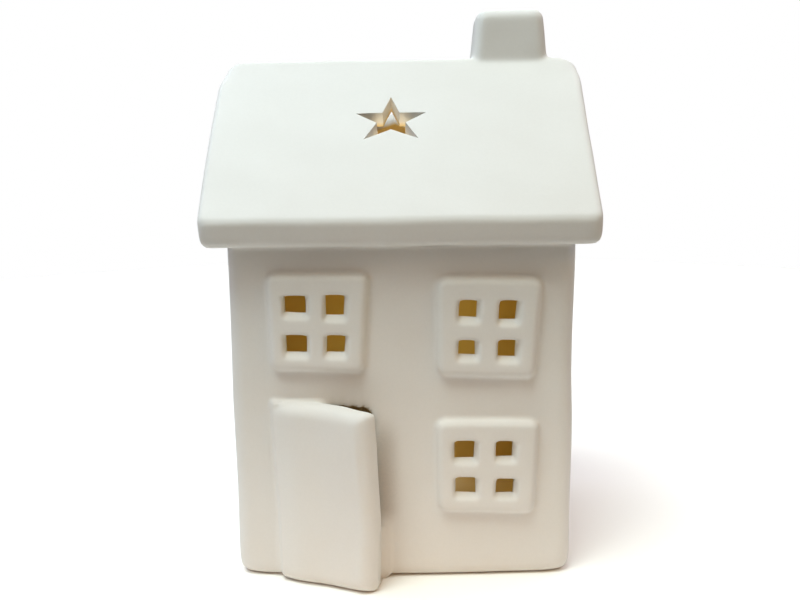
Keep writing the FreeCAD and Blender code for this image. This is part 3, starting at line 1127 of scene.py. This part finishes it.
def wax_piece():
    """The poured wax, drawn up a little at the cup's side and at the wick."""
    rim = (cup_high.x - cup_low.x) / 2.0
    side = rim - CUP_BEAD - CUP_WALL
    top = WAX_TOP
    disc_top = CUP_WALL + SUSTAINER_THICK
    profile = [(SUSTAINER_RADIUS, CUP_WALL), (side - 0.8, CUP_WALL), (side - 0.2, 1.0)]
    profile += [(side - 0.2, top + 0.1)]
    surface = []
    for k in range(1, 25):
        r = side - 0.2 - (side - 1.0) * k / 24.0
        lift = 0.35 * math.exp(-(side - r) / 1.1) + 0.45 * math.exp(-(r - 0.8) / 1.3)
        surface.append((r, top - 0.25 + lift))
    profile += surface
    profile += [(0.8, top + 0.2), (0.8, COLLAR_TOP), (COLLAR_RADIUS, COLLAR_TOP)]
    profile += [(COLLAR_RADIUS, disc_top), (SUSTAINER_RADIUS, disc_top)]

    def settle(r, z, turn):
        """The top face a little uneven."""
        sway = 0.05 * math.sin(3.0 * turn + r) + 0.03 * math.sin(7.0 * turn - 1.4 * r)
        return r, z + (sway if z > top - 1.0 and r > 1.2 else 0.0)

    return turned("tealight_wax_poured", dense(profile, 1.0), 144, settle)


def wick_piece():
    """A three-strand plaited wick, stiff with wax, its tip a little frayed."""
    low, high = box_mm("tealight_wick")
    centre = Vector(((low.x + high.x) / 2.0, (low.y + high.y) / 2.0, 0.0))
    radius = (high.x - low.x) / 2.0
    length = high.z - low.z
    bm = bmesh.new()
    rings = []
    steps, around = 150, 36
    for i in range(steps + 1):
        t = i / steps
        z = low.z + length * t
        taper = 1.0 if t < 0.93 else 1.0 - 0.45 * ((t - 0.93) / 0.07) ** 2
        lean = 0.25 * max(0.0, t - 0.6) ** 2
        ring = []
        for k in range(around):
            turn = 2.0 * math.pi * k / around
            lobe = abs(math.cos(1.5 * (turn - 0.9 * (z - low.z))))
            cross = abs(math.cos(1.5 * (turn + 0.9 * (z - low.z)) + 0.6))
            r = radius * taper * (0.80 + 0.20 * max(lobe, cross))
            x = centre.x + r * math.cos(turn) + lean
            ring.append(bm.verts.new((x, centre.y + r * math.sin(turn), z)))
        rings.append(ring)
    for a, b in zip(rings, rings[1:]):
        for k in range(around):
            n = (k + 1) % around
            bm.faces.new((a[k], a[n], b[n], b[k]))
    bm.faces.new(rings[0][::-1])
    bm.faces.new(rings[-1])
    bmesh.ops.recalc_face_normals(bm, faces=bm.faces)
    for face in bm.faces:
        face.smooth = len(face.verts) == 4
    bm.transform(Matrix.Scale(1.0 / MM, 4))
    return from_bmesh("tealight_wick_plaited", bm)


def tealight_pieces(materials):
    """The cup, the wax and the wick in place of their CAD nodes; the sustainer keeps its own mesh."""
    for piece, node, slot in (
        (cup_piece(), "tealight_cup", "cup_metal"),
        (wax_piece(), "tealight_wax", "wax"),
        (wick_piece(), "tealight_wick", "wick_cotton"),
    ):
        piece.data.materials.append(materials[slot])
        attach(piece, "tealight")
        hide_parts(node)
    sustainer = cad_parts["wick_sustainer"]
    sustainer.data.materials.clear()
    sustainer.data.materials.append(materials["tin"])


# Floor, light and camera


def floor():
    """A pale disc; only its middle throws light back up, as a small table top would."""
    material = floor_material()
    just_below = -0.0002
    for name, radius, height in (
        ("floor", FLOOR_RADIUS, just_below),
        ("floor_middle", MIDDLE_RADIUS, 0.0),
    ):
        bm = bmesh.new()
        bmesh.ops.create_circle(bm, cap_ends=True, segments=96, radius=radius)
        obj = from_bmesh(name, bm)
        obj.location.z = height
        obj.data.materials.append(material)
        obj.visible_diffuse = name == "floor_middle"


def light(name, kind, energy, color, location, aim=(0.0, 0.0, 0.0)):
    """A light that points from its place to its aim."""
    data = bpy.data.lights.new(name, kind)
    data.energy = energy
    data.color = color
    obj = bpy.data.objects.new(name, data)
    bpy.context.scene.collection.objects.link(obj)
    obj.location = location
    obj.rotation_euler = (Vector(aim) - Vector(location)).to_track_quat("-Z", "Y").to_euler()
    obj.visible_camera = False
    return obj


def softbox(name, energy, color, location, aim, size):
    """A square area light."""
    box = light(name, "AREA", energy, color, location, aim)
    box.data.shape = "SQUARE"
    box.data.size = size


def studio_world():
    """A dim warm room; the camera sees plain white."""
    world = bpy.data.worlds.new("studio")
    world.use_nodes = True
    tree = world.node_tree
    room = tree.nodes["Background"]
    room.inputs["Color"].default_value = (0.030, 0.026, 0.020, 1.0)
    seen = add(tree, "ShaderNodeBackground", {"Color": grey(1.0), "Strength": 1.0}).outputs[0]
    from_camera = add(tree, "ShaderNodeLightPath").outputs["Is Camera Ray"]
    mix = add(tree, "ShaderNodeMixShader", {0: from_camera, 1: room.outputs[0], 2: seen})
    tree.links.new(mix.outputs[0], tree.nodes["World Output"].inputs["Surface"])
    bpy.context.scene.world = world


def lights():
    """A skylight and softboxes about the house, a warm fill from the front, boxes over the floor that
    keep it white, and two small lights for what is thrown about inside the house."""
    skylight = light("skylight", "SUN", 1.10, (0.94, 1.0, 0.86), (-0.19, -0.35, 1.07))
    skylight.data.angle = math.radians(28.0)
    middle = (0.0, 0.0, 0.05)
    softbox("key", 1.22, (0.78, 1.0, 1.16), (-0.10, -0.14, 0.50), middle, 0.3)
    softbox("left", 0.62, (1.0, 1.0, 0.98), (-0.35, -0.40, 0.38), middle, 0.3)
    softbox("right", 0.32, (1.4, 1.0, 0.5), (0.35, -0.22, 0.35), middle, 0.25)
    softbox("back", 4.3, (0.97, 1.0, 1.12), (0.0, 0.65, 0.55), (0.0, 0.65, 0.0), 1.0)
    for x in (-0.42, 0.42):
        softbox("side", 0.86, (0.95, 1.0, 1.25), (x, 0.08, 0.35), (x, 0.08, 0.0), 0.35)
    fill = light("fill", "SPOT", 1.55, (1.0, 0.38, 0.08), (-0.02, -0.55, 0.10), (0.0, FRONT / MM, -0.012))
    fill.data.spot_size = math.radians(22.0)
    fill.data.spot_blend = 1.0
    fill.data.shadow_soft_size = 0.06
    glow = light("inside", "POINT", 0.0088, (0.80, 0.77, 0.28), (0.004, 0.0, 0.050))
    glow.data.shadow_soft_size = 0.015
    # From the front of the loft up at the underside of the slab round the star
    below, above = (-0.002, -0.022, 0.080), (-0.002, -0.016, 0.115)
    bounce = light("loft", "SPOT", 0.048, (1.0, 0.88, 0.66), below, above)
    bounce.data.spot_size = math.radians(90.0)
    bounce.data.spot_blend = 0.9
    bounce.data.shadow_soft_size = 0.010
    studio_world()


def camera():
    """The photograph's camera, fitted to the house's outline in an 800 by 600 frame."""
    focal_pixels, frame_pixels, sensor = 934.03, 800.0, 36.0
    data = bpy.data.cameras.new("camera")
    data.sensor_width = sensor
    data.lens = focal_pixels / frame_pixels * sensor
    data.clip_start = 0.01
    data.clip_end = 50.0
    down, yaw, roll = math.radians(9.66), math.radians(-0.94), math.radians(0.82)
    forward = Vector((math.sin(yaw) * math.cos(down), math.cos(yaw) * math.cos(down), -math.sin(down)))
    right = Vector((math.cos(yaw), -math.sin(yaw), 0.0))
    up = right.cross(forward)
    tilted_right = math.cos(roll) * right - math.sin(roll) * up
    tilted_up = math.sin(roll) * right + math.cos(roll) * up
    obj = bpy.data.objects.new("camera", data)
    bpy.context.scene.collection.objects.link(obj)
    turn = Matrix((tilted_right, tilted_up, -forward)).transposed().to_4x4()
    place = (0.00353, -0.26051, 0.11061)
    obj.matrix_world = Matrix.Translation(place) @ turn
    bpy.context.scene.camera = obj


materials = {
    "bisque": bisque_material(),
    "cup_metal": aluminium_material(),
    "tin": tin_material(),
    "wax": wax_material(),
    "wick_cotton": cotton_material(),
}
clay_pieces(materials["bisque"])
tealight_pieces(materials)
floor()
lights()
camera()
bpy.context.scene.view_settings.view_transform = "Standard"
bpy.context.scene.view_settings.look = "None"
